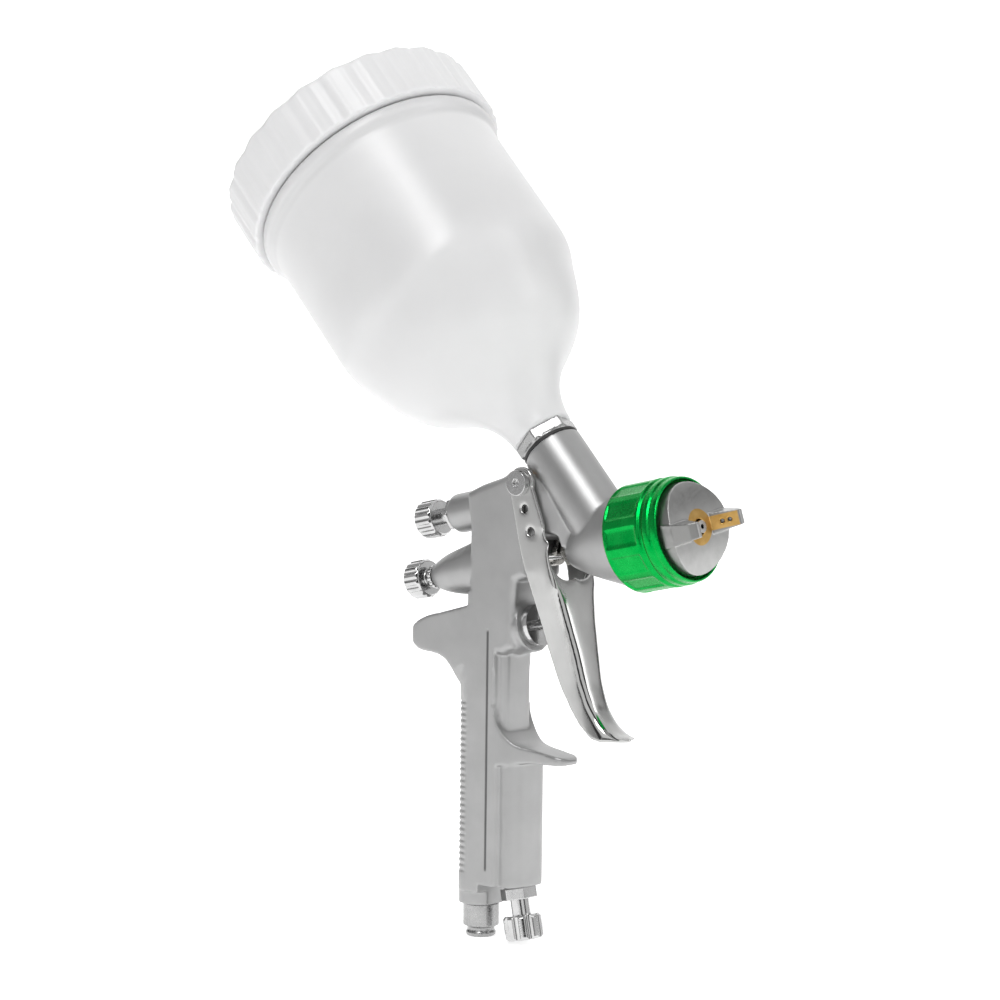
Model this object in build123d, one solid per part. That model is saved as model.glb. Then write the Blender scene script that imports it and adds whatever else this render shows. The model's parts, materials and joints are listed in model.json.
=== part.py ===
from build123d import *
import os
from math import cos, sin, radians

# HVLP gravity-feed spray gun. Units are millimetres.
# Frame: the origin is the centre of the outer end of the air-inlet thread, +Z runs up the grip,
# +X is the way the gun sprays and +Y is the gun's left side.

# Driving dimensions
BARREL_TILT = 11.5          # the needle axis rises this many degrees towards the nozzle
CUP_LEAN = 43.0             # the cup leans back this many degrees from vertical
BARREL_ORIGIN = (60, 0, 142.94)
CUP_ORIGIN = (25, 0, 182.35)
FAN_ORIGIN = (0, 0, 152.3)
AIR_VALVE_ORIGIN = (27.2, 0, 112.0)
FLOW_VALVE_ORIGIN = (17.6, 0, 17.4)
FLOW_VALVE_LEAN = 12.0      # the air-flow valve leans forward this much going down
PIVOT = (27.6, 163.0)       # trigger pivot, as X and Z

HALF_WIDTH = 10.0           # half the width of the body
THREAD_R = 6.58             # G 1/4 air inlet
RUN = 0.05                  # radial clearance of a running fit
RING_R = 19.05              # air cap ring
CUP_R = 47.2
LID_R = 52.6
CAP_CROWN = 39.5            # top of the air cap's crowned face, along the barrel
HORN_TIP = 48.4
CAP_TURN = 8.7              # the air cap is turned this much about the barrel
CUP_WALL = 1.7
LID_FLUTES = 24
LID_FLUTE_R = 5.0
CUP_TOP = 127.0             # cup rim, along the cup axis
NEEDLE_R = 1.5
TRIGGER_HALF_WIDTH = 12.3
TRIGGER_WALL = 2.0

UP = (Align.CENTER, Align.CENTER, Align.MIN)


# Local frames: z along the axis, x along the object's Y
def axis_plane(origin, x, z):
    return Plane(origin=origin, x_dir=(0, 1, 0), z_dir=(x, 0, z))


tilt = radians(BARREL_TILT)
lean = radians(CUP_LEAN)
drop = radians(FLOW_VALVE_LEAN)
BARREL = axis_plane(BARREL_ORIGIN, cos(tilt), sin(tilt))
FAN = axis_plane(FAN_ORIGIN, cos(tilt), sin(tilt))
AIR_VALVE = axis_plane(AIR_VALVE_ORIGIN, cos(tilt), sin(tilt))
CUP = axis_plane(CUP_ORIGIN, -sin(lean), cos(lean))
FLOW_VALVE = axis_plane(FLOW_VALVE_ORIGIN, sin(drop), -cos(drop))
INLET = Plane.XY
LOCAL = Plane.XY            # for a shape drawn on the spot and moved to its axis afterwards
PIVOT_AXIS = Plane(origin=(PIVOT[0], 0, PIVOT[1]), x_dir=(1, 0, 0), z_dir=(0, 1, 0))


# Building blocks
def rod(plane, radius, start, end):
    return plane * Pos(0, 0, start) * Cylinder(radius, end - start, align=UP)


def sleeve(plane, outer, inner, start, end):
    return rod(plane, outer, start, end) - rod(plane, inner, start - 1, end + 1)


def hexagon(plane, flats, start, end):
    return plane * Pos(0, 0, start) * extrude(RegularPolygon(flats / 2, 6, major_radius=False), end - start)


def turned(plane, *points):
    """Solid of revolution about the plane's z, from (radius, height) points."""
    return plane * revolve(Plane.XZ * make_face(Polyline(*points, close=True)), Axis.Z)


def turned_curve(plane, line):
    return plane * revolve(Plane.XZ * make_face(line), Axis.Z)


def side_plate(outline, half):
    """Extrude a sketch drawn in X and Z equally to both sides."""
    return extrude(Plane.XZ * outline, half, both=True)


def around(count, radius, shape):
    return [Rot(0, 0, 360 * i / count) * Pos(radius, 0, 0) * shape for i in range(count)]


def fluted(plane, radius, start, end, count, groove):
    """Knob head: a chamfered cylinder with round grooves along its rim."""
    head = Pos(0, 0, start) * Cylinder(radius, end - start, align=UP)
    head = chamfer(head.edges().filter_by(GeomType.CIRCLE), 0.9)
    cut = Pos(0, 0, start - 1) * Cylinder(groove, end - start + 2, align=UP)
    return plane * (head - around(count, radius + groove * 0.45, cut))


def spring(plane, radius, wire, start, end, turns):
    """Closed helical spring of round wire."""
    pitch = (end - start - 2 * wire) / turns
    path = Helix(pitch, pitch * turns, radius)
    section = Plane(origin=path @ 0, z_dir=path % 0) * Circle(wire)
    return plane * Pos(0, 0, start + wire) * sweep(section, path)


# Gun body casting
GRIP_REAR = -5.5
GRIP_BOTTOM = 13.5
HEAD_FACE = 20.0            # front face of the barrel head, along the barrel
HOOK_HALF_WIDTH = 5.5
VALVE_STEP = 16.8           # the foot of the grip is cut up to this height around the air-flow valve


def housing_outline():
    rear = [(0.7, 121.5), (0.9, 146), (-1, 158.3)]
    top = [(6.3, 161.4), (15.9, 164.4), (22, 167.6), (32.5, 166), (47, 154)]
    front = [(50, 139.5), (43.2, 141), (42, 144.8), (31.5, 145.8), (28.4, 143), (28.4, 129.4), (23.6, 127.6),
             (22.6, 120)]
    bottom = [(22.2, 103.5), (17.3, 101), (5, 101), (5, 117)]
    return make_face(Polyline(*rear, *top, *front, *bottom, close=True))


def housing_plan():
    """Plan of the housing, drawn in towards the barrel head."""
    half = [(-20, 20), (33, 20), (36, HALF_WIDTH), (42, 8.8), (48, 6.2), (60, 6)]
    plan = make_face(Polyline(*half, *[(x, -y) for x, y in reversed(half)], close=True))
    return extrude(Pos(0, 0, 90) * plan, 90)


def soften(solid, radius):
    """Round the long edges of both side faces."""
    sides = solid.faces().sort_by(Axis.Y)
    return fillet(sides[0].edges() + sides[-1].edges(), radius)


def grip_column():
    """Straight grip with a broad rounded back."""
    plan = Pos(4.25, 0) * Rectangle(19.5, 2 * HALF_WIDTH)
    plan = fillet(plan.vertices().group_by(Axis.X)[0], 6)
    plan = fillet(plan.vertices().group_by(Axis.X)[-1], 1.2)
    return extrude(Pos(0, 0, GRIP_BOTTOM) * plan, 106 - GRIP_BOTTOM)


def thumb_rest():
    """Beak at the back of the grip that sits over the hand."""
    beak = Spline((-3.5, 84), (-5.6, 91), (-10, 96.2), (-18, 98.8), (-27, 100), (-31, 104.4), (-27.6, 109.2),
                  (-16, 113.4), (0.7, 117.6), tangents=[(0, 1), (1, 0.25)])
    rest = Polyline((0.7, 117.6), (0.7, 123), (14, 123), (14, 84), (-3.5, 84))
    side = side_plate(make_face(beak + rest), HALF_WIDTH)
    plan = make_face(Polyline((14, -10), (-2, -10), (-29, -7.4), (-32, -4), (-32, 4), (-29, 7.4), (-2, 10), (14, 10),
                              close=True))
    flank = [(4.5, 84), (7, 86.5), (9, 90.5), (10, 96), (10, 123)]
    front = make_face(Polyline(*flank, *[(-y, z) for y, z in reversed(flank)], close=True))
    return side & extrude(Pos(0, 0, 80) * plan, 50) & extrude(Plane.YZ * front, 60, both=True)


def hook():
    """Finger rest and hanging hook below the trigger."""
    root = Spline((14, 82), (15.6, 75.5), (20, 70.4), (28, 67.8), tangents=[(0, -1), (1, -0.1)])
    blade = Polyline((28, 67.8), (41.6, 65.8), (43.3, 64.9), (43.3, 63.8), (42, 63), (26, 62.4), (10, 60), (10, 82),
                     (14, 82))
    side = side_plate(make_face(root + blade), HALF_WIDTH)
    plan = make_face(Polyline((10, -10), (15.5, -10), (21, -8.2), (29, -5.8), (38, HOOK_HALF_WIDTH * -1),
                              (38, HOOK_HALF_WIDTH), (29, 5.8), (21, 8.2), (15.5, 10), (10, 10), close=True))
    plan = plan + Pos(38, 0) * Circle(HOOK_HALF_WIDTH)
    return side & extrude(Pos(0, 0, 50) * plan, 40)


def barrel_head():
    curve = Spline((6.3, -17), (7.9, -14), (11.6, -5.5), (14.7, 3), (17.5, 10.5))
    rest = Polyline((17.5, 10.5), (15.5, 11.2), (15.5, HEAD_FACE), (0, HEAD_FACE), (0, -17), (6.3, -17))
    return turned_curve(BARREL, curve + rest)


def cone_end():
    """Housing of the needle spring, drawn in towards the fluid knob."""
    curve = Spline((4, -85.1), (6.7, -79), (8, -73.9), (10, -63.3))
    rest = Polyline((10, -63.3), (10, -50), (0, -50), (0, -85.1), (4, -85.1))
    return turned_curve(BARREL, curve + rest)


def valve_grip():
    """Lower front of the grip, which holds the air-flow valve."""
    plate = extrude(Pos(10, 0, GRIP_BOTTOM) * RectangleRounded(11, 2 * HALF_WIDTH, 1.2), 63 - GRIP_BOTTOM)
    return plate + Pos(18, 0, GRIP_BOTTOM) * Cylinder(8.5, 63 - GRIP_BOTTOM, align=UP)


def body_solid():
    housing = soften(side_plate(housing_outline(), HALF_WIDTH), 2.5) & housing_plan()
    finger_grip = extrude(Pos(11.3, 0, 58) * RectangleRounded(12, 15, 3), 48)
    shapes = [grip_column(), thumb_rest(), finger_grip, valve_grip(), hook(), barrel_head(), cone_end()]
    shapes += [rod(CUP, 11, -50, -10), rod(INLET, 8.2, 8.2, 30), rod(AIR_VALVE, 9.4, -18, -3)]
    shapes += [turned(FAN, (0, -14.4), (5.8, -14.4), (7.2, -12.4), (7.2, 8), (0, 8))]
    result = housing
    for shape in shapes:
        result = result + shape
    return result


def body_cavities():
    cuts = [rod(INLET, 5.5, 8.2, 18.2), rod(INLET, 4.2, 17, 104)]
    cuts += [Pos(19, 0, VALVE_STEP) * Box(24, 24, 20, align=(Align.CENTER, Align.CENTER, Align.MAX))]
    cuts += [rod(AIR_VALVE, 6.4, -20, 6), rod(AIR_VALVE, 4.2, -27, -19)]
    cuts += [rod(FAN, 4.6, -16, -2), rod(FAN, 2.2, -3, 14)]
    cuts += [rod(BARREL, 3.26, -90, -77), rod(BARREL, 4.6, -78, -42), rod(BARREL, 1.6, -43, -30)]
    cuts += [rod(BARREL, 4.6, -36, -28), rod(BARREL, 6, -21, -16.9)]
    cuts += [rod(BARREL, 3.6, -18, -8.5), rod(BARREL, 3.2, -9, 10), rod(BARREL, 5, 7, 21)]
    cuts += [rod(CUP, 6.5, -42, -9), rod(CUP, 3.2, -54, -41)]
    cuts += [sleeve(BARREL, 13.6, 10.4, 9, 21)]
    cuts += [rod(FLOW_VALVE, 3.8, -34, 6), rod(FLOW_VALVE, 5, -12, 6), rod(FLOW_VALVE, 10, 1.4, 12)]
    cuts += [Pos(10.8, side * HALF_WIDTH, 66) * Box(0.8, 0.8, 88) for side in (-1, 1)]
    cuts += [rod(PIVOT_AXIS, 3, -14, 14)]
    return cuts


def serrations():
    ridge = RegularPolygon(1.0, 4)
    rows = [Pos(GRIP_REAR - 0.35, 0, 21 + 2.2 * i) * extrude(Plane.XZ * ridge, 11, both=True) for i in range(28)]
    return rows


def gun_body():
    body = body_solid()
    for cut in body_cavities():
        body = body - cut
    for groove in serrations():
        body = body - groove
    return body


# Air inlet
def air_inlet_nipple():
    outer = turned(INLET, (0, -4), (5, -4), (5.5, -3.4), (5.5, -2.4), (5, -2), (5, -0.6), (THREAD_R, 0),
                   (THREAD_R, 8.2), (5.5, 8.2), (5.5, 18), (0, 18))
    return outer - rod(INLET, 4, -5, 19)


# Paint cup
def cup_profile(offset):
    """Outer half-section of the cup from its neck to its rim, moved inwards by offset."""
    return [(11.3 - offset, -4), (11.8 - offset, 1), (15.4 - offset, 11), (21.5 - offset, 18.5),
            (31 - offset * 0.8, 26.5), (39.5 - offset * 0.9, 38), (44.8 - offset, 52), (CUP_R - offset, 72)]


def cup_body():
    points = cup_profile(0)
    inner = [(r, t + (CUP_WALL if r < 36 else 0.6)) for r, t in cup_profile(CUP_WALL)]
    outside = Spline(*points, tangents=[(0, 1), (0, 1)])
    inside = Spline(*inner, tangents=[(0, 1), (0, 1)])
    top = Polyline(points[-1], (CUP_R, 113), (46.2, 114), (46.2, CUP_TOP), (46.2 - CUP_WALL, CUP_TOP), inner[-1])
    bottom = Polyline(points[0], (6.6, -4), (6.6, -1.4), inner[0])
    shell = turned_curve(CUP, outside + top + inside + bottom)
    collar = turned(CUP, (45.5, 112.4), (47.2, 112.4), (49.3, 114.4), (49.3, 117.6), (48.2, 118.8), (45.5, 118.8))
    return shell + collar


def cup_adapter():
    nut = hexagon(CUP * Rot(0, 0, 18), 20, -8.2, -4)
    stem = rod(CUP, 6.45, -26, -7)
    spigot = rod(CUP, 6.55, -5, 8)
    flange = rod(CUP, 10.5, -8.9, -8)
    bore = rod(CUP, 4.5, -27, 9)
    return nut + stem + spigot + flange - bore


def cup_gasket():
    return sleeve(CUP, 10.8, 6.5, -10, -8.9)


def paint_strainer():
    return turned(CUP, (5.2, 8.6), (6.2, 8.6), (6.2, 10), (4.6, 30), (0, 30), (0, 29), (3.8, 29), (5.2, 10))


def cup_lid():
    skirt = Pos(0, 0, 119) * Cylinder(LID_R, 22.4, align=UP)
    skirt = chamfer(skirt.edges().filter_by(GeomType.CIRCLE).sort_by(Axis.Z)[-1], 1.5)
    flute = Pos(0, 0, 118) * Cylinder(LID_FLUTE_R, 25, align=UP)
    skirt = CUP * (skirt - around(LID_FLUTES, LID_R + LID_FLUTE_R - 1, flute))
    return skirt - rod(CUP, 48.4, 118, 128.4) - rod(CUP, 44, 128, 137.4) - rod(CUP, 1.1, 130, 146)


def lid_gasket():
    return sleeve(CUP, 48.2, 44.4, CUP_TOP, 128.4)


def lid_vent_plug():
    return turned(CUP, (0, 138.2), (1.05, 138.2), (1.05, 141.4), (4, 141.4), (3.6, 143.4), (0, 143.4))


# Head: fluid tip, air cap and ring
def fluid_nozzle():
    outer = turned(BARREL, (0, 8.5), (4.98, 8.5), (4.98, HEAD_FACE + 1.4), (9, HEAD_FACE + 1.4), (9, 25), (6.5, 26), (5, 31.5),
                   (2.4, 36.8), (2.2, 40.4), (0, 40.4))
    inner = turned(BARREL, (0, 7), (3.2, 7), (3.2, 30), (1.05, 38), (0.8, 41), (0, 41))
    return outer - inner


def nozzle_baffle():
    ring = turned(BARREL, (5.02, HEAD_FACE), (15.4, HEAD_FACE), (15.4, 21.8), (9, 22.2), (9, HEAD_FACE + 1.4),
                  (5.02, HEAD_FACE + 1.4))
    hole = Pos(0, 0, HEAD_FACE - 1) * Cylinder(0.9, 5, align=UP)
    return ring - [BARREL * one for one in around(12, 12, hole)]


def air_horn():
    """One horn of the air cap, standing out along the cap's axis; its inner face slants outwards."""
    side = Polyline((5.6, 35), (5.6, 38.4), (11.4, HORN_TIP), (13, HORN_TIP), (14.6, 46), (16.1, 39), (16.1, 35),
                    close=True)
    front = Polyline((-4.2, 35), (4.2, 35), (2.6, HORN_TIP), (-2.6, HORN_TIP), close=True)
    horn = extrude(Plane.XZ * make_face(side), 6, both=True) & extrude(Plane.YZ * make_face(front), 20)
    for across, along in [(8.3, 42.8), (9.6, 45.1)]:
        horn = horn - Pos(across, 0, along) * Rot(0, -61, 0) * Cylinder(0.75, 3)
    return horn


def air_cap():
    flange = rod(LOCAL, 17.2, 30, 32.4)
    face = rod(LOCAL, 16.2, 32, 42) & Pos(0, 0, CAP_CROWN - 39.2) * Rot(0, 90, 0) * Cylinder(39.2, 40)
    cap = flange + face + air_horn() + Rot(0, 0, 180) * air_horn()
    cap = cap - turned(LOCAL, (0, 29), (14, 29), (14, 33.6), (6, 36.8), (0, 36.8)) - rod(LOCAL, 2.8, 36, 45)
    return BARREL * Rot(0, 0, CAP_TURN) * cap


def air_cap_ring():
    body = turned(BARREL, (15.56, 11.4), (18.2, 11), (RING_R, 12), (RING_R, 27), (18.2, 27.8), (18.2, 28.6),
                  (18.9, 29.2), (18.9, 31.2), (18.1, 31.9), (18.4, 32.8), (18.3, 34.3), (18, 34.9), (17.4, 34.9),
                  (17.2, 33.3), (16.3, 33.3), (16.3, 32.6), (17.3, 32.6), (17.3, 20.2), (15.56, 20.2))
    flute = Pos(0, 0, 12.6) * Box(1.4, 6.4, 13.4, align=UP)
    return body - [BARREL * one for one in around(12, RING_R, flute)]


def cap_snap_ring():
    ring = sleeve(BARREL, 17.2, 15.7, 28.9, 29.9)
    return ring - BARREL * (Pos(16.5, 0, 29.4) * Box(4, 5, 3))


# Needle line
def fluid_needle():
    return turned(BARREL, (0, -72), (1.2, -72), (1.2, -46.2), (NEEDLE_R, -46), (NEEDLE_R, 28), (1.1, 31),
                  (0.35, 39.6), (0, 39.7))


def needle_shoulder():
    return sleeve(BARREL, 4.3, 1.2, -49, -46.4)


def needle_collar():
    return sleeve(BARREL, 4, NEEDLE_R, -28.4, -25.3)


def packing_nut():
    nut = hexagon(BARREL, 9.6, -19.8, -17) + rod(BARREL, 3.58, -17, -12)
    return nut - rod(BARREL, NEEDLE_R + RUN, -21, -11)


def needle_packing():
    return sleeve(BARREL, 3.58, NEEDLE_R + 0.03, -12, -8.6)


def needle_spring():
    return spring(BARREL, 3.3, 0.45, -76.2, -49.1, 9)


def fluid_knob():
    head = fluted(BARREL, 7.2, -96.8, -89.2, 16, 0.9)
    shank = rod(BARREL, 3.2, -90, -76.4)
    return head + shank - rod(BARREL, 1.4, -84, -76)


def lock_ring(plane, radius, bore, start, end):
    notch = Pos(0, 0, start - 1) * Cylinder(0.5, end - start + 2, align=UP)
    return sleeve(plane, radius, bore, start, end) - [plane * one for one in around(14, radius + 0.15, notch)]


def fluid_lock_ring():
    return lock_ring(BARREL, 4.4, 3.26, -87, -85.2)


# Fan control
def fan_bush():
    collar = hexagon(FAN, 10.6, -15.9, -14.4)
    body = rod(FAN, 4.58, -15, -3)
    return collar + body - rod(FAN, 3.1, -17, -5) - rod(FAN, 2.2, -6, -2)


def fan_spindle():
    return rod(FAN, 3.05, -22, -6) + turned(FAN, (0, -6), (2.1, -6), (2.1, 2), (0.4, 8), (0, 8))


def fan_knob():
    return fluted(FAN, 7.05, -30.4, -22, 16, 0.9)


# Air valve
def air_valve_nut():
    nut = rod(AIR_VALVE, 7.5, -2.9, 0) + rod(AIR_VALVE, 6.35, -9, -2.9)
    return nut - rod(AIR_VALVE, 3.2, -8, -3) - rod(AIR_VALVE, 2.05, -10, 1)


def air_valve_seal():
    return sleeve(AIR_VALVE, 3.15, 2.03, -6.8, -3.1)


def air_valve_stem():
    stem = rod(AIR_VALVE, 2, -16, 17.6)
    nose = fillet(stem.edges().sort_by(Axis.X)[-1], 1.5)
    return nose + rod(AIR_VALVE, 3.9, -18, -15.6)


def air_valve_seat():
    return sleeve(AIR_VALVE, 6.35, 2.6, -15.5, -12.6)


def air_valve_spring():
    return spring(AIR_VALVE, 3.1, 0.45, -26.9, -18.1, 4)


# Air-flow valve at the foot of the grip
def flow_valve_nut():
    nut = hexagon(FLOW_VALVE, 11.6, 1.5, 5.6) + rod(FLOW_VALVE, 4.95, -11, 2)
    return nut - rod(FLOW_VALVE, 3.45, -12, 7)


def flow_valve_stem():
    return rod(FLOW_VALVE, 3.4, -24, 11.3) + turned(FLOW_VALVE, (0, -30), (1.6, -30), (3.4, -24), (0, -24))


def flow_valve_knob():
    return fluted(FLOW_VALVE, 7, 11.3, 20.3, 9, 1.6)


# Trigger
def trigger_side():
    rear = [(22.2, 160.6), (27.2, 140), (30.5, 130), (34.7, 115), (37.9, 104), (41.9, 93), (46.8, 84.3),
            (51.4, 78.5), (57, 74.5), (63, 73.4)]
    foot = [(69.8, 74), (70, 75.3), (64.5, 76.4), (60.4, 79.6)]
    front = [(56.2, 85), (52.9, 93), (50.4, 104), (47.4, 115), (44.1, 130), (41.2, 140.5), (37.7, 150.5),
             (33.1, 161.4)]
    return make_face(Polyline(*rear, *foot, *front, close=True)) + Pos(*PIVOT) * Circle(5.8) + Pos(41, 142.2) * Circle(1.7)


def trigger_front(shrink):
    """Width of the trigger seen from the front, as Y and Z."""
    left = [(TRIGGER_HALF_WIDTH - shrink, 172), (TRIGGER_HALF_WIDTH - shrink, 132), (11.4 - shrink, 126),
            (9.5 - shrink, 115), (8 - shrink, 104), (7 - shrink, 93), (6.5 - shrink, 84), (6.4 - shrink, 79),
            (7.4 - shrink, 72)]
    right = [(-y, z) for y, z in reversed(left)]
    return make_face(Polyline(*left, *right, close=True))


def trigger_channel():
    """Space between the trigger's side plates."""
    outline = [(0, 175), (60, 175), (60, 127), (42.3, 127), (45.2, 115), (48.2, 104), (50.7, 93), (54, 84.5),
               (57.6, 79.2), (59.5, 77.2), (59.5, 70), (0, 70)]
    side = side_plate(make_face(Polyline(*outline, close=True)), 20)
    return side & extrude(Plane.YZ * trigger_front(TRIGGER_WALL), 100)


def trigger():
    blank = side_plate(trigger_side(), 20) & extrude(Plane.YZ * trigger_front(0), 100)
    lever = blank - trigger_channel() - rod(PIVOT_AXIS, 2.56, -20, 20)
    for x, z in [(29.5, 153.9), (32.3, 146)]:
        lever = lever - Pos(x, 0, z) * Rot(90, 0, 0) * Cylinder(1.5, 40)
    return lever


def needle_yoke():
    """Cross bar between the trigger plates that pulls the needle back by its collar."""
    reach = TRIGGER_HALF_WIDTH - TRIGGER_WALL
    bar = Rectangle(2 * reach, 4.6, align=(Align.CENTER, Align.MIN))
    bar = Pos(0, 0, -25) * extrude(bar, 4.4)
    nose = Pos(0, 0, -22.8) * Rot(0, 90, 0) * Cylinder(2.2, 2 * reach)
    slot = Pos(0, -1.5, -22.8) * Box(4.8, 8, 8)
    return BARREL * (bar + nose - slot)


def pivot_sleeve():
    return sleeve(PIVOT_AXIS, 2.98, 2.02, -10.2, 10.2)


def pivot_screw():
    head = rod(PIVOT_AXIS, 4.5, -14.9, -12.35)
    socket = hexagon(PIVOT_AXIS, 2.6, -15.5, -13.4)
    shank = rod(PIVOT_AXIS, 2.0, -12.4, 11)
    shoulder = rod(PIVOT_AXIS, 2.5, -12.4, -10.2)
    return head + shank + shoulder - socket


def pivot_nut():
    return rod(PIVOT_AXIS, 4.5, 12.35, 14.6) + rod(PIVOT_AXIS, 2.5, 11, 12.4)


PARTS = [gun_body, air_inlet_nipple, cup_body, cup_adapter, cup_gasket, paint_strainer, cup_lid, lid_gasket,
         lid_vent_plug, fluid_nozzle, nozzle_baffle, air_cap, air_cap_ring, cap_snap_ring, fluid_needle,
         needle_shoulder, needle_collar, packing_nut, needle_packing, needle_spring, fluid_knob,
         fluid_lock_ring, fan_bush, fan_spindle, fan_knob, air_valve_nut, air_valve_seal, air_valve_stem,
         air_valve_seat, air_valve_spring, flow_valve_nut, flow_valve_stem, flow_valve_knob, trigger,
         needle_yoke, pivot_sleeve, pivot_screw, pivot_nut]

os.makedirs("parts", exist_ok=True)
for make in PARTS:
    export_step(make(), "parts/" + make.__name__ + ".step")
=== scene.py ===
import json
import math

import bpy
import bmesh
from mathutils import Matrix, Vector
from mathutils.bvhtree import BVHTree


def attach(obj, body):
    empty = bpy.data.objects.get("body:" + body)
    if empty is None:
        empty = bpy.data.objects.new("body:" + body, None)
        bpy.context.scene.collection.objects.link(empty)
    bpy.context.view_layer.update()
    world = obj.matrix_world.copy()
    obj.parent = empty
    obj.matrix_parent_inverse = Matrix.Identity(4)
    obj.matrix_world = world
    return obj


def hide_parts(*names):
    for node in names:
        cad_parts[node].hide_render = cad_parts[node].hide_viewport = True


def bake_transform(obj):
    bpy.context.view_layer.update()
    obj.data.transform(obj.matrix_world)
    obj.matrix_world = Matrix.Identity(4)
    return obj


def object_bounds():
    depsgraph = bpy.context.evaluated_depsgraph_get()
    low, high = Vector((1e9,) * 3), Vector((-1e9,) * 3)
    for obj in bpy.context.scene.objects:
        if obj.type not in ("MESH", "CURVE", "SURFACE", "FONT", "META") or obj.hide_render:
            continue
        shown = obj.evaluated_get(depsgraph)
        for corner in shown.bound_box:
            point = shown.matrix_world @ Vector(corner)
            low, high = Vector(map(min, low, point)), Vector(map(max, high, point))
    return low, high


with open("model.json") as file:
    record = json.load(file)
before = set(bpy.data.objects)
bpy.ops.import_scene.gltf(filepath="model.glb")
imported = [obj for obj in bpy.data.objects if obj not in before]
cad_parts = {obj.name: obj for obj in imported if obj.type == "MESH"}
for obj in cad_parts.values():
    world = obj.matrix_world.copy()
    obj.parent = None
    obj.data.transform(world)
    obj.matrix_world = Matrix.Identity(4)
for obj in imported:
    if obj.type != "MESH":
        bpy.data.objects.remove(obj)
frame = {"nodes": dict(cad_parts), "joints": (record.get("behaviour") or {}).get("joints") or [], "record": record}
CAD_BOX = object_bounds()
NODES = frame["nodes"]
MM = 0.001


# Frames of the part: the barrel and cup axes, read from the record's joints
def joint(name):
    return next(j for j in frame["joints"] if j["name"] == name)


BARREL = Vector(joint("ring_turn")["axis"]).normalized()
BARREL_AT = Vector(joint("ring_turn")["pos_m"])
CUP = Vector(joint("cup_lift")["axis"]).normalized()
CUP_AT = Vector((25, 0, 182.35)) * MM
TUBE_FRONT = CUP.cross(Vector((0, 1, 0)))
CAP_TURN = math.radians(8.7)
HORN_LINE = Matrix.Rotation(CAP_TURN, 3, BARREL) @ Vector((0, 1, 0))
GRIP_LINE_X = 10.8 * MM
OUTSIDE = 200 * MM  # further along X than any piece, for rays cast at the gun


# Camera
VIEW_AZIMUTH = math.radians(42.16)
VIEW_ELEVATION = math.radians(3.31)
VIEW_ROLL = math.radians(0.68)
VIEW_DISTANCE = 1.0
VIEW_TARGET = Vector((0.00696, 0, 0.15557))
LENS = 99.72


def camera():
    """The photo's view of the gun."""
    sin_a, cos_a = math.sin(VIEW_AZIMUTH), math.cos(VIEW_AZIMUTH)
    sin_e, cos_e = math.sin(VIEW_ELEVATION), math.cos(VIEW_ELEVATION)
    back = Vector((sin_a * cos_e, -cos_a * cos_e, sin_e))
    right = Vector((cos_a, sin_a, 0))
    up = back.cross(right)
    rolled_right = right * math.cos(VIEW_ROLL) + up * math.sin(VIEW_ROLL)
    rolled_up = up * math.cos(VIEW_ROLL) - right * math.sin(VIEW_ROLL)
    data = bpy.data.cameras.new("camera")
    data.lens = LENS
    data.sensor_width = 36
    data.clip_start = 0.01
    cam = bpy.data.objects.new("camera", data)
    bpy.context.scene.collection.objects.link(cam)
    turn = Matrix((rolled_right, rolled_up, back)).transposed().to_4x4()
    cam.matrix_world = Matrix.Translation(VIEW_TARGET + back * VIEW_DISTANCE) @ turn
    bpy.context.scene.camera = cam


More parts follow.
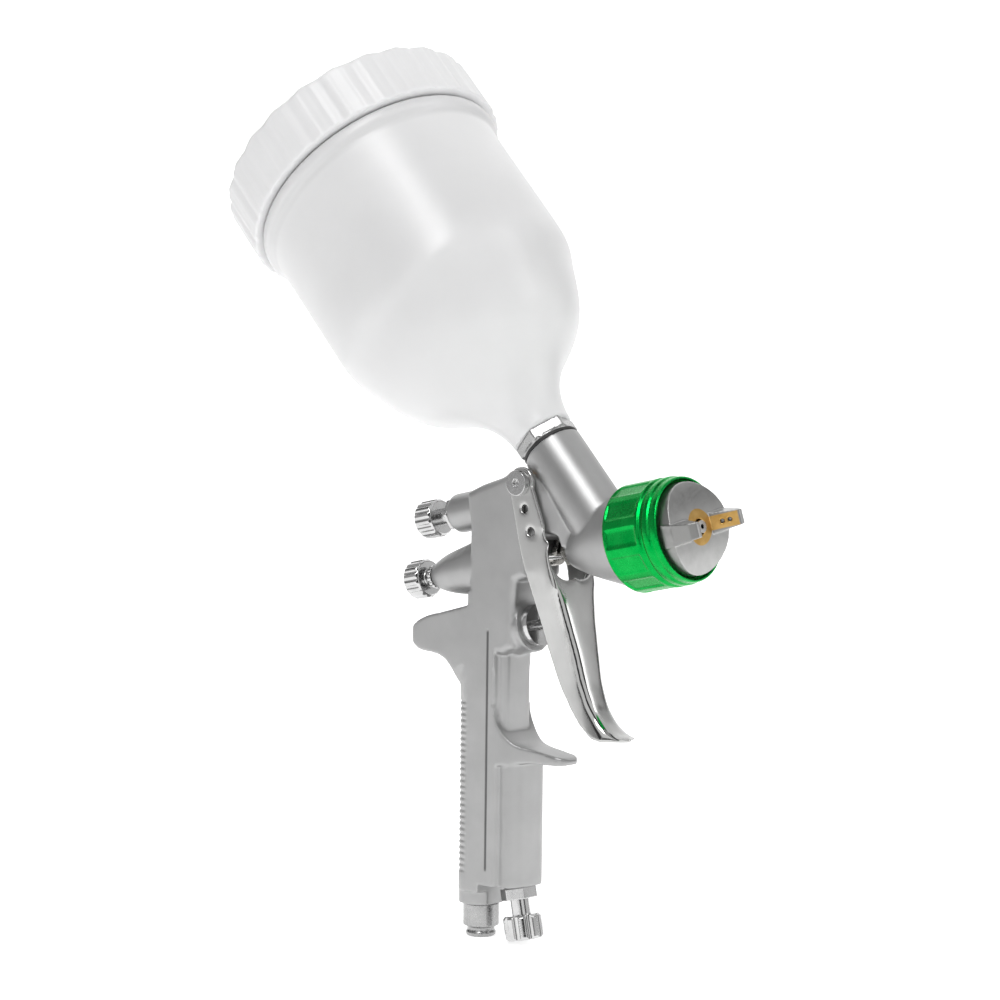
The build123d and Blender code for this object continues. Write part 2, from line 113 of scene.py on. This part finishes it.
# Materials
class Shader:
    """A Principled material and a few shorthands for wiring procedural nodes into it."""

    def __init__(self, name, **values):
        self.material = bpy.data.materials.new(name)
        self.material.use_nodes = True
        self.tree = self.material.node_tree
        self.bsdf = self.tree.nodes["Principled BSDF"]
        for key, value in values.items():
            self.bsdf.inputs[key.replace("_", " ")].default_value = value
        self.place = self.node("ShaderNodeTexCoord").outputs["Object"]

    def node(self, kind, **settings):
        made = self.tree.nodes.new(kind)
        for key, value in settings.items():
            setattr(made, key, value)
        return made

    def link(self, source, target):
        self.tree.links.new(source, target)

    def noise(self, scale, detail=3.0, stretch=(1, 1, 1)):
        """Noise with this many features per metre; stretch squeezes it along an axis."""
        mapping = self.node("ShaderNodeMapping")
        mapping.inputs["Scale"].default_value = stretch
        self.link(self.place, mapping.inputs["Vector"])
        made = self.node("ShaderNodeTexNoise")
        made.inputs["Scale"].default_value = scale
        made.inputs["Detail"].default_value = detail
        self.link(mapping.outputs["Vector"], made.inputs["Vector"])
        return made.outputs["Fac"]

    def spread(self, source, low, high):
        """Map a 0 to 1 value to the range low to high."""
        made = self.node("ShaderNodeMapRange")
        made.inputs["From Min"].default_value = 0.3
        made.inputs["From Max"].default_value = 0.7
        made.inputs["To Min"].default_value = low
        made.inputs["To Max"].default_value = high
        self.link(source, made.inputs["Value"])
        return made.outputs["Result"]

    def colours(self, source, dark, light):
        self.link(self.mixed(source, dark, light), self.bsdf.inputs["Base Color"])

    def mixed(self, source, dark, light):
        """A colour between dark and light."""
        return self.pick(self.spread(source, 0, 1), dark, light)

    def pick(self, factor, a, b, kind="RGBA"):
        """a where the factor is 0 and b where it is 1; each is a colour, a number or a node's output."""
        made = self.node("ShaderNodeMix", data_type=kind)
        self.link(factor, made.inputs["Factor"])
        for name, value in (("A", a), ("B", b)):
            if isinstance(value, bpy.types.NodeSocket):
                self.link(value, made.inputs[name])
            else:
                made.inputs[name].default_value = (*value, 1) if isinstance(value, tuple) else value
        return made.outputs["Result"]

    def math(self, operation, a, b=None):
        made = self.node("ShaderNodeMath", operation=operation)
        for socket, value in zip(made.inputs, (a, b)):
            if isinstance(value, (int, float)):
                socket.default_value = value
            elif value is not None:
                self.link(value, socket)
        return made.outputs[0]

    def times(self, *values):
        """The product of several values."""
        product = values[0]
        for value in values[1:]:
            product = self.math("MULTIPLY", product, value)
        return product

    def hypotenuse(self, a, b):
        return self.math("SQRT", self.math("ADD", self.times(a, a), self.times(b, b)))

    def distance(self, axis, origin):
        """How far a point lies along an axis from an origin."""
        return self.math("SUBTRACT", self.dot(self.place, axis), origin.dot(axis))

    def dot(self, source, direction):
        made = self.node("ShaderNodeVectorMath", operation="DOT_PRODUCT")
        self.link(source, made.inputs[0])
        made.inputs[1].default_value = direction
        return made.outputs["Value"]

    def step(self, source, low, high):
        """0 below low, 1 above high."""
        made = self.node("ShaderNodeMapRange")
        made.inputs["From Min"].default_value = low
        made.inputs["From Max"].default_value = high
        self.link(source, made.inputs["Value"])
        return made.outputs["Result"]

    def facing_side(self, low, high):
        """1 where the surface faces straight to either side of the gun."""
        normal = self.node("ShaderNodeTexCoord").outputs["Normal"]
        return self.step(self.math("ABSOLUTE", self.dot(normal, (0, 1, 0))), low, high)

    def brass_area(self):
        """1 on the air cap's middle and on the inner faces of its horns."""
        horn_root, horn_root_side, horn_slant = 38.4 * MM, 6.3 * MM, 0.58
        brass_top, brass_half_width, disc_radius, edge = 48.0 * MM, 2.6 * MM, 6.5 * MM, 0.3 * MM
        along = self.distance(BARREL, BARREL_AT)
        side = self.math("ABSOLUTE", self.distance(HORN_LINE, BARREL_AT))
        height = self.math("ABSOLUTE", self.distance(BARREL.cross(HORN_LINE), BARREL_AT))
        inner = self.times(self.math("SUBTRACT", along, horn_root), horn_slant)
        inner = self.math("ADD", inner, horn_root_side)
        within = self.step(self.math("SUBTRACT", inner, side), 0, 0.2 * MM)
        low = self.step(along, brass_top, brass_top - edge)
        narrow = self.step(height, brass_half_width, brass_half_width - edge)
        middle = self.step(self.hypotenuse(side, height), disc_radius, disc_radius - edge)
        return self.math("MAXIMUM", middle, self.times(within, low, narrow))

    def roughness(self, source, low, high):
        self.link(self.spread(source, low, high), self.bsdf.inputs["Roughness"])

    def bump(self, source, height, strength=1.0):
        """Raise the surface by up to height, in metres."""
        made = self.node("ShaderNodeBump")
        made.inputs["Distance"].default_value = height
        made.inputs["Strength"].default_value = strength
        self.link(source, made.inputs["Height"])
        self.link(made.outputs["Normal"], self.bsdf.inputs["Normal"])


def cast_body():
    """Satin casting, with painted shade darkening the groove down each side of the grip, and a more polished cup
    tube.
    """
    s = Shader("cast_body", Metallic=0.85)
    grain = s.noise(5200, 2)
    cast = s.mixed(s.noise(70, 4), (0.37, 0.37, 0.37), (0.42, 0.42, 0.42))
    place = s.node("ShaderNodeSeparateXYZ")
    s.link(s.place, place.inputs[0])
    x, y, z = place.outputs
    # Painted shade: the base colour turns dark grey along the groove down each side of the grip, where shade falls
    # in it.
    near_groove = s.step(s.math("ABSOLUTE", s.math("SUBTRACT", x, GRIP_LINE_X)), 0.75 * MM, 0.3 * MM)
    on_side = s.step(s.math("ABSOLUTE", y), 8.6 * MM, 8.8 * MM)
    painted_groove_shade = s.times(near_groove, on_side, s.step(z, 109.5 * MM, 108.5 * MM), s.step(z, 22 * MM, 23 * MM))
    s.link(s.pick(painted_groove_shade, cast, (0.13, 0.13, 0.13)), s.bsdf.inputs["Base Color"])
    radius = s.hypotenuse(s.distance(TUBE_FRONT, CUP_AT), y)
    above = s.step(s.distance(CUP, CUP_AT), -38 * MM, -30 * MM)
    tube = s.times(s.step(radius, 11 * MM, 10.5 * MM), above, s.step(radius, 8 * MM, 9 * MM))
    rough = s.pick(tube, s.spread(grain, 0.38, 0.48), 0.22, "FLOAT")
    s.link(rough, s.bsdf.inputs["Roughness"])
    s.bump(grain, 0.01 * MM, 0.5)
    return s.material


def trigger_metal():
    """Satin on the flat sides and front, and polished where the surface turns between them."""
    s = Shader("trigger_metal", Metallic=1.0)
    s.colours(s.noise(90, 4), (0.44, 0.44, 0.435), (0.50, 0.50, 0.495))
    facing = s.math("MAXIMUM", s.facing_side(0.90, 0.98), s.facing_side(0.3, 0.12))
    satin = s.spread(s.noise(900, 3, (1, 1, 0.1)), 0.30, 0.40)
    s.link(s.pick(facing, 0.09, satin, "FLOAT"), s.bsdf.inputs["Roughness"])
    return s.material


def chrome():
    s = Shader("chrome", Metallic=1.0)
    s.colours(s.noise(200, 3), (0.50, 0.50, 0.50), (0.58, 0.58, 0.58))
    s.roughness(s.noise(1500, 3), 0.09, 0.17)
    return s.material


def plated_steel():
    s = Shader("plated_steel", Metallic=1.0)
    s.colours(s.noise(200, 3), (0.34, 0.34, 0.34), (0.40, 0.40, 0.40))
    s.roughness(s.noise(1200, 3), 0.24, 0.32)
    return s.material


def stainless():
    s = Shader("stainless", Metallic=1.0)
    s.colours(s.noise(200, 3), (0.5, 0.5, 0.5), (0.6, 0.6, 0.6))
    s.roughness(s.noise(1200, 3), 0.15, 0.28)
    return s.material


def spring_steel():
    s = Shader("spring_steel", Metallic=1.0)
    s.colours(s.noise(300, 3), (0.3, 0.3, 0.3), (0.4, 0.4, 0.4))
    s.roughness(s.noise(1200, 3), 0.25, 0.35)
    return s.material


def brass():
    s = Shader("brass", Metallic=1.0)
    s.colours(s.noise(250, 3), (0.55, 0.30, 0.08), (0.68, 0.40, 0.12))
    s.roughness(s.noise(1200, 3), 0.2, 0.34)
    return s.material


def nickelled_brass():
    s = Shader("nickelled_brass", Metallic=1.0)
    s.colours(s.noise(250, 3), (0.36, 0.35, 0.33), (0.46, 0.45, 0.42))
    s.roughness(s.noise(1200, 3), 0.2, 0.32)
    return s.material


def cap_metal():
    """Satin plate, with painted shade on the faces turned to one side along the horns, and bare brass inside them
    and round the bore.
    """
    s = Shader("cap_metal", Metallic=1.0)
    s.roughness(s.noise(1200, 3), 0.30, 0.40)
    face = s.mixed(s.noise(250, 3), (0.40, 0.40, 0.395), (0.45, 0.45, 0.445))
    # Painted shade: faces turned towards -HORN_LINE darken to a darker grey, as if that side lay in shade.
    normal = s.node("ShaderNodeTexCoord").outputs["Normal"]
    silver_with_painted_shade = s.pick(s.step(s.dot(normal, -HORN_LINE), 0.2, 0.7), face, (0.27, 0.27, 0.265))
    bare = s.mixed(s.noise(300, 3), (0.46, 0.27, 0.075), (0.60, 0.38, 0.13))
    s.link(s.pick(s.brass_area(), silver_with_painted_shade, bare), s.bsdf.inputs["Base Color"])
    return s.material


def green_ring():
    s = Shader("green_ring", Metallic=1.0)
    s.colours(s.noise(150, 3), (0.0, 0.31, 0.045), (0.008, 0.38, 0.065))
    s.roughness(s.noise(900, 3), 0.24, 0.32)
    return s.material


def cup_plastic():
    """Milky plastic, with a painted shadow of the lid greying the collar under it."""
    s = Shader("cup_plastic", Specular_IOR_Level=0.6, Subsurface_Weight=0.5, Subsurface_Scale=0.012,
               Subsurface_Radius=(1, 1, 1))
    milky = s.mixed(s.noise(30, 3), (0.775, 0.775, 0.78), (0.815, 0.815, 0.82))
    # Painted shadow: the base colour greys from the collar up towards the lid, where the lid's skirt shades the
    # cup.
    collar = s.times(s.step(s.distance(CUP, CUP_AT), 110 * MM, 113.5 * MM), 0.7)
    s.link(s.pick(collar, milky, (0.58, 0.58, 0.585)), s.bsdf.inputs["Base Color"])
    s.roughness(s.noise(700, 3), 0.3, 0.38)
    return s.material


def lid_plastic():
    s = Shader("lid_plastic", Specular_IOR_Level=0.6, Subsurface_Weight=0.3, Subsurface_Scale=0.002,
               Subsurface_Radius=(1, 1, 1))
    s.colours(s.noise(30, 3), (0.71, 0.71, 0.715), (0.75, 0.75, 0.755))
    s.roughness(s.noise(700, 3), 0.3, 0.42)
    return s.material


def rubber():
    s = Shader("rubber")
    s.colours(s.noise(800, 3), (0.012, 0.012, 0.012), (0.025, 0.025, 0.025))
    s.roughness(s.noise(1500, 3), 0.5, 0.65)
    return s.material


def nylon():
    s = Shader("nylon")
    s.colours(s.noise(400, 3), (0.7, 0.69, 0.64), (0.78, 0.77, 0.72))
    s.roughness(s.noise(1500, 3), 0.4, 0.55)
    return s.material


MATERIALS = {make.__name__: make() for make in (
    cast_body, trigger_metal, chrome, plated_steel, stainless, spring_steel, brass, cap_metal, green_ring,
    cup_plastic, lid_plastic, rubber, nylon, nickelled_brass)}
SLOT_OF = {part["node"]: part["material_slot"] for part in frame["record"]["subparts"]}


def material_of(node):
    return MATERIALS["nickelled_brass" if node in ("packing_nut", "needle_collar") else SLOT_OF[node]]


def dress_nodes():
    """Give every CAD node the procedural material of its slot."""
    for node in SLOT_OF:
        slots = NODES[node].data.materials
        slots.clear()
        slots.append(material_of(node))


# Pieces with softened edges, shown in place of the sharp CAD nodes
BODIES = frame["record"]["behaviour"]["bodies"]
BODY_OF = {node: body for body, nodes in BODIES.items() for node in nodes}


def evaluated(obj):
    """The object's mesh with its modifiers applied."""
    graph = bpy.context.evaluated_depsgraph_get()
    shown = obj.evaluated_get(graph)
    return bpy.data.meshes.new_from_object(shown, preserve_all_data_layers=True, depsgraph=graph)


def fused(data, added):
    """One mesh holding the faces of both."""
    both = bmesh.new()
    both.from_mesh(data)
    both.from_mesh(added)
    both.to_mesh(data)
    both.free()
    return data


def new_piece(node, data):
    """An object in the scene that will stand in for the CAD node."""
    obj = bpy.data.objects.new(node + "_finished", data)
    bpy.context.scene.collection.objects.link(obj)
    return obj


def dress(obj, node):
    """Smooth the object's shading and give it the node's material."""
    obj.data.materials.clear()
    obj.data.materials.append(material_of(node))
    obj.data.polygons.foreach_set("use_smooth", [True] * len(obj.data.polygons))


def soft_copy(node, voxel, passes, weight=None, keep=1.0, shape=None, added=None):
    """A copy of a CAD node remeshed at this voxel size, with its edges worn round by smoothing.

    weight gives the share of the smoothing at a point, shape moves a point, keep is the share of
    faces kept and added is a mesh fused with the copy.
    """
    data = NODES[node].data.copy()
    obj = new_piece(node, fused(data, added) if added else data)
    remesh = obj.modifiers.new("remesh", "REMESH")
    remesh.mode = "VOXEL"
    remesh.voxel_size = voxel
    obj.data = evaluated(obj)
    obj.modifiers.clear()
    smooth = obj.modifiers.new("smooth", "SMOOTH")
    smooth.factor = 0.5
    smooth.iterations = passes
    if weight:
        group = obj.vertex_groups.new(name="wear")
        for v in obj.data.vertices:
            group.add([v.index], weight(v.co), "REPLACE")
        smooth.vertex_group = group.name
    if shape:
        obj.data = evaluated(obj)
        obj.modifiers.clear()
        for v in obj.data.vertices:
            v.co = shape(v.co)
    if keep < 1:
        thin = obj.modifiers.new("thin", "DECIMATE")
        thin.ratio = keep
    obj.data = evaluated(obj)
    obj.modifiers.clear()
    dress(obj, node)
    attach(obj, BODY_OF[node])
    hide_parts(node)


def working_spring(node, joint_name, body):
    """A copy of the spring, left where it sits in the gun; it does not follow the body that this joint moves."""
    motion = Vector(joint(joint_name)["axis"]).normalized()
    obj = new_piece(node, NODES[node].data.copy())
    dress(obj, node)
    ends = [v.co.dot(motion) for v in obj.data.vertices]
    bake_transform(obj)
    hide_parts(node)


def ramp(value, start, end):
    """0 at start, 1 at end, held beyond them."""
    return min(max((value - start) / (end - start), 0), 1)


def body_wear(point):
    """Less wear over the fine serrations at the back of the grip and the grooves on its sides."""
    back, side, half_width = -3.5 * MM, 8.5 * MM, 1.2 * MM
    serrations_top, groove_top = 84 * MM, 112 * MM
    on_serrations = point.x < back and point.z < serrations_top
    on_groove = abs(point.x - GRIP_LINE_X) < half_width and abs(point.y) > side and point.z < groove_top
    return 0.06 if on_serrations or on_groove else 1.0


def surface(node):
    """The node's faces as a tree that rays can be cast on."""
    data = NODES[node].data
    return BVHTree.FromPolygons([v.co for v in data.vertices], [p.vertices for p in data.polygons])


def grip_rear():
    """X of the grip's back, half way up the serrations."""
    behind = Vector((-OUTSIDE, 1 * MM, 51.2 * MM))
    return surface("gun_body").ray_cast(behind, Vector((1, 0, 0)))[0].x


def serrated(rear):
    """Grooves across the back of the grip that run round its corners."""
    pitch, depth, low, high = 2.2 * MM, 0.5 * MM, 20 * MM, 83 * MM
    fade, wrap, half_width = rear + 4.5 * MM, rear + 7 * MM, 9 * MM

    def moved(point):
        if not low < point.z < high or point.x > wrap:
            return point
        share = ramp(point.x, wrap, fade)
        wave = 0.5 - 0.5 * math.cos(2 * math.pi * (point.z - low) / pitch)
        inward = Vector((0.75, 0.325 - 0.65 * ramp(point.y, -half_width, half_width), 0)).normalized()
        return point + inward * depth * share * wave
    return moved


def trigger_edge():
    """A function giving X of the trigger's front at a height, found with rays at its web and plate."""
    tree = surface("trigger")
    first, last = 74, 161
    web, plate = 5 * MM, 11.5 * MM
    found = {}
    for row in range(first, last + 1):
        for side in (web, plate):
            hit = tree.ray_cast(Vector((OUTSIDE, side, row * MM)), Vector((-1, 0, 0)))[0]
            if hit:
                found[row] = max(hit.x, found.get(row, 0))

    def edge(z):
        row = min(max(z / MM, first), last - 0.1)
        low = math.floor(row)
        return found.get(low, 0) + (found.get(low + 1, 0) - found.get(low, 0)) * (row - low)
    return edge


def trigger_wear(edge):
    """Broad rounding along the trigger's two front corners, and little elsewhere."""
    def wear(point):
        depth = edge(point.z) - point.x
        front = ramp(depth, 9 * MM, 5 * MM)
        upper = ramp(point.z, 148 * MM, 142 * MM)
        return max(front * upper * ramp(abs(point.y), 0, 4 * MM), 0.04)
    return wear


def trigger_web(edge):
    """The upper end of the trigger's front, with a hollow in its top edge for the packing nut."""
    reach, thick, columns = 12.2 * MM, 2.2 * MM, 25
    low, hollow, hollow_half_width, hollow_depth = 126 * MM, 130 * MM, 4 * MM, 9 * MM
    mesh = bmesh.new()
    rings = []
    for i in range(columns):
        y = -reach + 2 * reach * i / (columns - 1)
        top = hollow + hollow_depth * ramp(abs(y), hollow_half_width, reach) ** 2
        corners = ((edge(low) - thick, low), (edge(low), low), (edge(top), top), (edge(top) - thick, top))
        rings.append([mesh.verts.new((x, y, z)) for x, z in corners])
    for a, b in zip(rings, rings[1:]):
        for j in range(4):
            mesh.faces.new((a[j], a[(j + 1) % 4], b[(j + 1) % 4], b[j]))
    mesh.faces.new(rings[0])
    mesh.faces.new(reversed(rings[-1]))
    bmesh.ops.recalc_face_normals(mesh, faces=mesh.faces)
    data = bpy.data.meshes.new("trigger_web")
    mesh.to_mesh(data)
    mesh.free()
    return data


def lobed(point):
    """Broad lobes with finer ridges round the lid, and a lip that closes on the cup's collar."""
    lobes, lobe_depth, ridges, ridge_depth, lip_depth = 24, 1.25, 72, 0.2, 1.8
    skirt = 49.5 * MM
    offset = point - CUP_AT
    along = offset.dot(CUP)
    outward = offset - CUP * along
    radius = outward.length
    if radius < 40 * MM:
        return point
    outward.normalize()
    angle = math.atan2(outward.dot(TUBE_FRONT), outward.y)
    if radius > skirt:
        lobe = 0.5 - 0.5 * math.cos(lobes * angle)
        ridge = 0.5 - 0.5 * math.cos(ridges * angle)
        depth = lobe_depth * lobe + ridge_depth * ridge
        return point - outward * depth * MM * ramp(radius, skirt, 51.5 * MM)
    lip = ramp(along, 121.5 * MM, 120.5 * MM) * ramp(radius, 50 * MM, 49 * MM)
    return point - outward * lip_depth * MM * lip


def cup_wear(point):
    """Smooth over the bowl and the wall, and crisp at the neck and the collar."""
    along = (point - CUP_AT).dot(CUP)
    return max(ramp(along, 30 * MM, 45 * MM) * ramp(along, 108 * MM, 98 * MM), 0.03)


def finish_pieces():
    """Replace the CAD nodes that show soft edges, texture or wear in the photo, and the springs."""
    edge = trigger_edge()
    soft_copy("gun_body", 0.4 * MM, 14, body_wear, 0.5, serrated(grip_rear()))
    soft_copy("trigger", 0.42 * MM, 600, trigger_wear(edge), 0.7, added=trigger_web(edge))
    soft_copy("air_cap", 0.22 * MM, 4, keep=0.6)
    soft_copy("air_cap_ring", 0.3 * MM, 14, keep=0.6)
    soft_copy("cup_body", 0.8 * MM, 150, cup_wear, 0.5)
    soft_copy("cup_lid", 0.6 * MM, 4, keep=0.7, shape=lobed)
    for node in ("fluid_knob", "fan_knob", "flow_valve_knob"):
        soft_copy(node, 0.18 * MM, 3, keep=0.6)
    small = ("pivot_screw", "pivot_nut", "flow_valve_nut", "fluid_lock_ring", "fan_bush", "packing_nut")
    for node in small:
        soft_copy(node, 0.16 * MM, 3, keep=0.5)
    working_spring("needle_spring", "needle_draw", BODY_OF["needle_shoulder"])
    working_spring("air_valve_spring", "air_valve_open", BODY_OF["air_valve_stem"])
    soft_copy("cup_adapter", 0.3 * MM, 3, keep=0.6)
    soft_copy("air_inlet_nipple", 0.25 * MM, 3, keep=0.6)


# Studio
def floor():
    """Pale paper under the gun, curved up behind it."""
    low = CAD_BOX[0][2]
    mesh = bmesh.new()
    half, front, back, rise, height, steps = 1.6, 0.8, 1.2, 1.0, 4, 12
    profile = [(-front, low), (back, low)]
    for i in range(1, steps + 1):
        turn = math.pi / 2 * i / steps
        profile.append((back + rise * math.sin(turn), low + rise * (1 - math.cos(turn))))
    profile.append((back + rise, low + height))
    rows = [[mesh.verts.new((x, y, z)) for x in (-half, half)] for y, z in profile]
    for a, b in zip(rows, rows[1:]):
        mesh.faces.new((a[0], a[1], b[1], b[0]))
    data = bpy.data.meshes.new("floor")
    mesh.to_mesh(data)
    mesh.free()
    obj = bpy.data.objects.new("floor", data)
    bpy.context.scene.collection.objects.link(obj)
    obj.rotation_euler = (0, 0, VIEW_AZIMUTH)
    for face in data.polygons:
        face.use_smooth = True
    s = Shader("floor_paper")
    s.colours(s.noise(4, 3), (0.93, 0.93, 0.93), (0.96, 0.96, 0.96))
    s.roughness(s.noise(60, 3), 0.85, 0.95)
    s.bsdf.inputs["Emission Color"].default_value = (1, 1, 1, 1)
    s.bsdf.inputs["Emission Strength"].default_value = 0.55
    s.material.cycles.emission_sampling = "NONE"
    data.materials.append(s.material)


def area_light(name, azimuth, elevation, distance, size, power):
    """A softbox aimed at the middle of the gun, turned from the camera's azimuth; angles in degrees."""
    turn = VIEW_AZIMUTH + math.radians(azimuth)
    rise = math.radians(elevation)
    away = Vector((math.sin(turn) * math.cos(rise), -math.cos(turn) * math.cos(rise), math.sin(rise)))
    data = bpy.data.lights.new(name, "AREA")
    data.shape = "RECTANGLE"
    data.size, data.size_y = size
    data.energy = power
    obj = bpy.data.objects.new(name, data)
    bpy.context.scene.collection.objects.link(obj)
    obj.location = VIEW_TARGET + away * distance
    obj.rotation_euler = away.to_track_quat("Z", "Y").to_euler()


# Greys that the metal reflects, from the left of the view (0) to its right (1)
BANDS = [(0.0, 0.45), (0.10, 0.45), (0.13, 0.05), (0.20, 0.05), (0.23, 0.95), (0.42, 0.95),
         (0.46, 0.04), (0.57, 0.04), (0.60, 0.3), (0.62, 0.3), (0.64, 0.9), (0.84, 0.9),
         (0.87, 0.1), (0.94, 0.1), (0.96, 0.7), (1.0, 0.7)]
BACKDROP = (0.96, 0.96, 0.96, 1)


def surroundings():
    """Soft light and dark panels round the gun for the metal to reflect, on a plain pale background."""
    world = bpy.data.worlds.new("studio")
    world.use_nodes = True
    bpy.context.scene.world = world
    tree = world.node_tree
    nodes, link = tree.nodes, tree.links.new
    sky = nodes["Background"]
    sky.inputs["Strength"].default_value = 1.05
    place = nodes.new("ShaderNodeTexCoord")
    turn = nodes.new("ShaderNodeMapping")
    turn.inputs["Rotation"].default_value = (0, 0, -VIEW_AZIMUTH)
    link(place.outputs["Generated"], turn.inputs["Vector"])
    split = nodes.new("ShaderNodeSeparateXYZ")
    link(turn.outputs["Vector"], split.inputs["Vector"])
    spread = nodes.new("ShaderNodeMapRange")
    spread.inputs["From Min"].default_value = -1
    link(split.outputs["X"], spread.inputs["Value"])
    panels = nodes.new("ShaderNodeValToRGB")
    link(spread.outputs["Result"], panels.inputs["Fac"])
    seen = nodes.new("ShaderNodeMix")
    seen.data_type = "RGBA"
    seen.inputs["B"].default_value = BACKDROP
    path = nodes.new("ShaderNodeLightPath")
    link(path.outputs["Is Camera Ray"], seen.inputs["Factor"])
    link(panels.outputs["Color"], seen.inputs["A"])
    link(seen.outputs["Result"], sky.inputs["Color"])
    stops = panels.color_ramp.elements
    while len(stops) < len(BANDS):
        stops.new(0.5)
    for stop, (position, grey) in zip(stops, BANDS):
        stop.position = position
        stop.color = (grey, grey, grey, 1)


camera()
dress_nodes()
finish_pieces()
floor()
surroundings()
area_light("key", -17, 53, 1.4, (0.3, 0.7), 7)
area_light("fill", 70, 25, 1.4, (0.4, 0.9), 3)
bpy.context.scene.view_settings.view_transform = "Standard"
